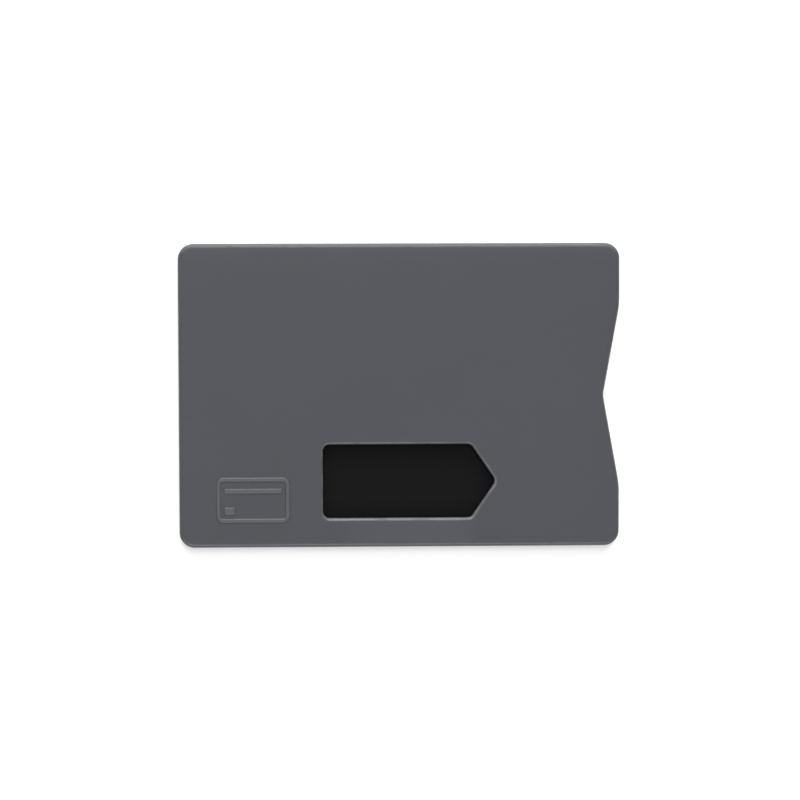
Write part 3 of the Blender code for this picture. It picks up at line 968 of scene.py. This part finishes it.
def rolledFoil(name):
    # bright foil with the fine lines of the rolls along it
    look = foilLook
    material, tree, shader = startFinish(name, look["colour"], look["roughness"], metallic=1.0)
    rolls = useGroup(tree, rubLines, Heading=0.0, Length=look["rollLength"],
                     Width=look["rollWidth"], Cover=look["rollCover"])["Mask"]
    flow = addFlow(tree, look)
    base = tinted(tree, opaque(look["colour"]), flow["Tone"])
    colour = blendColours(tree, rolls, base, opaque(look["shadeColour"]))
    feed(tree, colour, shader.inputs["Base Color"])
    rough = calc(tree, "ADD", flow["Gloss"], look["roughness"])
    rough = calc(tree, "MULTIPLY_ADD", rolls, look["rollRoughness"], rough)
    feed(tree, rough, shader.inputs["Roughness"])
    addBump(tree, shader, rolls, look["rollDepth"])
    return material


adhesiveLook = {
    "colour": (0.700, 0.690, 0.640),
    "clearColour": (0.560, 0.555, 0.500),
    "roughness": 0.55,
    "grainSize": 0.45 * mm,        # of the beads in the film
    "grainTone": 0.2,
    "grainGloss": 0.3,
    "grainDepth": 0.01 * mm,
    "flowSpread": 0.2,
    "flowGloss": 0.1,
    "clearTone": 0.96,
    "cloudyTone": 1.04,
}


def milkyAdhesive(name):
    # transfer film, cloudier where it was pressed less
    look = adhesiveLook
    material, tree, shader = startFinish(name, look["colour"], look["roughness"])
    grain = addGrain(tree, look)
    flow = addFlow(tree, look)
    cloud = rerange(tree, flow["Tone"], look["clearTone"], look["cloudyTone"])
    base = blendColours(tree, cloud, opaque(look["clearColour"]), opaque(look["colour"]))
    feed(tree, tinted(tree, base, grain["Tone"]), shader.inputs["Base Color"])
    feed(tree, calc(tree, "ADD", grain["Gloss"], look["roughness"]), shader.inputs["Roughness"])
    addBump(tree, shader, grain["Height"], look["grainDepth"])
    return material


acetalLook = {
    "colour": (0.015, 0.015, 0.016),
    "polishedColour": (0.026, 0.026, 0.028),
    "roughness": 0.35,
    "grainSize": 0.09 * mm,
    "grainTone": 0.3,
    "grainGloss": 0.2,
    "grainDepth": 0.003 * mm,
    "rubSheenAmount": 0.7,
    "wornGloss": 0.12,             # how much smoother a worn edge is
}


def blackAcetal(name):
    # moulded black plastic, polished at the edges that a card rubs
    look = acetalLook
    material, tree, shader = startFinish(name, look["colour"], look["roughness"])
    grain = addGrain(tree, look)
    rubAndSheenMask = useGroup(tree, edgeRubAndSheen, Amount=look["rubSheenAmount"])["Mask"]
    base = tinted(tree, opaque(look["colour"]), grain["Tone"])
    colour = blendColours(tree, rubAndSheenMask, base, opaque(look["polishedColour"]))
    feed(tree, colour, shader.inputs["Base Color"])
    rough = calc(tree, "ADD", grain["Gloss"], look["roughness"])
    smoothing = calc(tree, "MULTIPLY", rubAndSheenMask, look["wornGloss"])
    feed(tree, calc(tree, "SUBTRACT", rough, smoothing), shader.inputs["Roughness"])
    addBump(tree, shader, grain["Height"], look["grainDepth"])
    return material


def dress(piece, material):
    piece.data.materials.clear()
    piece.data.materials.append(material)


# The pieces, each in its finish and on its body.

print("finishes")
mouldGrain = makeMouldGrain()
flowTone = makeFlowTone()
edgeRubAndSheen = makeEdgeRubAndSheen()
rubLines = makeRubLines()
satinGreyFront = satinPlastic("satinGreyFront", **coverEdgesAndScratches["front"], marks=markFront)
satinGreyRear = satinPlastic("satinGreyRear", **coverEdgesAndScratches["rear"])

print("case")
frontShell = buildFrontShell()
dress(frontShell, satinGreyFront)
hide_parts("front_cover")
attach(frontShell, "case")
rearShell = buildRearShell()
dress(rearShell, satinGreyRear)
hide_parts("rear_cover")
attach(rearShell, "case")

print("spring fingers")
acetal = blackAcetal("blackAcetal")
for name, side in (("upper", 1), ("lower", -1)):
    finger = buildFinger(f"{name}Finger", side)
    dress(finger, acetal)
    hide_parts(f"{name}_spring_finger")
    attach(finger, f"{name}_finger")

print("shielding sheets")
sheetFinishes = {
    "shield_adhesive": milkyAdhesive("milkyAdhesive"),
    "shield_foil": rolledFoil("rolledFoil"),
    "lining": blackFilm("blackFilm"),
}
for cover in ("front", "rear"):
    for kind, finish in sheetFinishes.items():
        dress(frame["nodes"][f"{cover}_{kind}"], finish)


# Floor, light and camera.

floorLook = {
    "halfSize": 1.5,
    "colour": (0.80, 0.80, 0.80),
    "roughness": 0.9,
    "glow": 0.385,             # white added to the floor where it is seen or mirrored
    "below": 0.02 * mm,
}
skyLook = {
    "strength": 0.15,          # of its light, though it is seen as white
}
# Soft boxes round the object: two above, three behind and one in front. An unmirrored one lights
# the object without showing in its gloss.
softBoxDistance = 1.00
softBoxes = {
    "overhead": {"power": 1.6, "width": 0.50, "height": 0.40,
                 "fromZenith": math.radians(26), "turn": math.radians(12)},
    "behind": {"power": 2.6, "width": 0.60, "height": 0.40,
               "fromZenith": math.radians(55), "turn": math.radians(10)},
    "horizon": {"power": 4.0, "width": 1.00, "height": 0.08,
                "fromZenith": math.radians(86), "turn": math.radians(8)},
    "behindFill": {"power": 5.6, "width": 0.60, "height": 0.48,
                   "fromZenith": math.radians(56), "turn": math.radians(-14), "unmirrored": True},
    "inFront": {"power": 3.2, "width": 0.80, "height": 0.40,
                "fromZenith": math.radians(42), "turn": math.radians(172)},
    "above": {"power": 3.0, "width": 0.25, "height": 0.25,
              "fromZenith": math.radians(13.5), "turn": math.radians(-10), "unmirrored": True},
}
view = {
    "pitch": math.radians(3.71),
    "yaw": math.radians(1.98),
    "roll": math.radians(0.265),
    "distance": 0.600,
    "aside": 0.10 * mm,
    "down": 0.88 * mm,
    "lens": 129.56,
    "sensor": 36.0,
    "nearest": 0.01,
    "farthest": 20.0,
}


def seenRays(tree):
    # 1 for rays that look straight at something, by eye, mirror or glass
    path = tree.nodes.new("ShaderNodeLightPath").outputs
    seen = calc(tree, "MAXIMUM", path["Is Camera Ray"], path["Is Glossy Ray"])
    return calc(tree, "MAXIMUM", seen, path["Is Transmission Ray"])


def buildFloor():
    half = floorLook["halfSize"]
    shape = bmesh.new()
    corners = [(-half, -half), (half, -half), (half, half), (-half, half)]
    shape.faces.new([shape.verts.new((x, y, caseLow.z - floorLook["below"])) for x, y in corners])
    floor = pieceFrom("floor", shape)
    material, tree, shader = startFinish("whitePaper", floorLook["colour"], floorLook["roughness"])
    glow = tree.nodes.new("ShaderNodeEmission")
    feed(tree, calc(tree, "MULTIPLY", seenRays(tree), floorLook["glow"]), glow.inputs["Strength"])
    both = tree.nodes.new("ShaderNodeAddShader")
    feed(tree, shader.outputs[0], both.inputs[0])
    feed(tree, glow.outputs[0], both.inputs[1])
    feed(tree, both.outputs[0], tree.nodes["Material Output"].inputs["Surface"])
    dress(floor, material)


def buildSky():
    world = bpy.data.worlds.new("whiteRoom")
    world.use_nodes = True
    tree = world.node_tree
    strength = rerange(tree, seenRays(tree), 0.0, 1.0, skyLook["strength"])
    feed(tree, strength, tree.nodes["Background"].inputs["Strength"])
    tree.nodes["Background"].inputs["Color"].default_value = (1, 1, 1, 1)
    bpy.context.scene.world = world


def buildSoftBox(name, box):
    lamp = bpy.data.lights.new(name, "AREA")
    lamp.shape = "RECTANGLE"
    lamp.size = box["width"]
    lamp.size_y = box["height"]
    lamp.energy = box["power"]
    lampObject = bpy.data.objects.new(name, lamp)
    bpy.context.scene.collection.objects.link(lampObject)
    tilt = Matrix.Rotation(-box["fromZenith"], 3, "X")
    turn = Matrix.Rotation(box["turn"], 3, "Z")
    lampObject.location = turn @ tilt @ Vector((0, 0, softBoxDistance))
    lampObject.rotation_euler = (turn @ tilt).to_euler()
    if box.get("unmirrored"):
        lampObject.visible_glossy = False


def buildCamera():
    data = bpy.data.cameras.new("camera")
    data.sensor_width = view["sensor"]
    data.lens = view["lens"]
    data.clip_start = view["nearest"]
    data.clip_end = view["farthest"]
    camera = bpy.data.objects.new("camera", data)
    bpy.context.scene.collection.objects.link(camera)
    pitch = Matrix.Rotation(view["pitch"], 3, "X")
    yaw = Matrix.Rotation(view["yaw"], 3, "Y")
    roll = Matrix.Rotation(view["roll"], 3, "Z")
    turn = (roll @ yaw @ pitch).transposed()
    aim = Vector((0, 0, frontFace))
    offset = Vector((view["aside"], -view["down"], view["distance"]))
    camera.matrix_world = Matrix.Translation(aim + turn @ offset) @ turn.to_4x4()
    bpy.context.scene.camera = camera


print("floor, light and camera")
buildFloor()
buildSky()
for name, box in softBoxes.items():
    buildSoftBox(name, box)
buildCamera()
bpy.context.scene.view_settings.view_transform = "Standard"
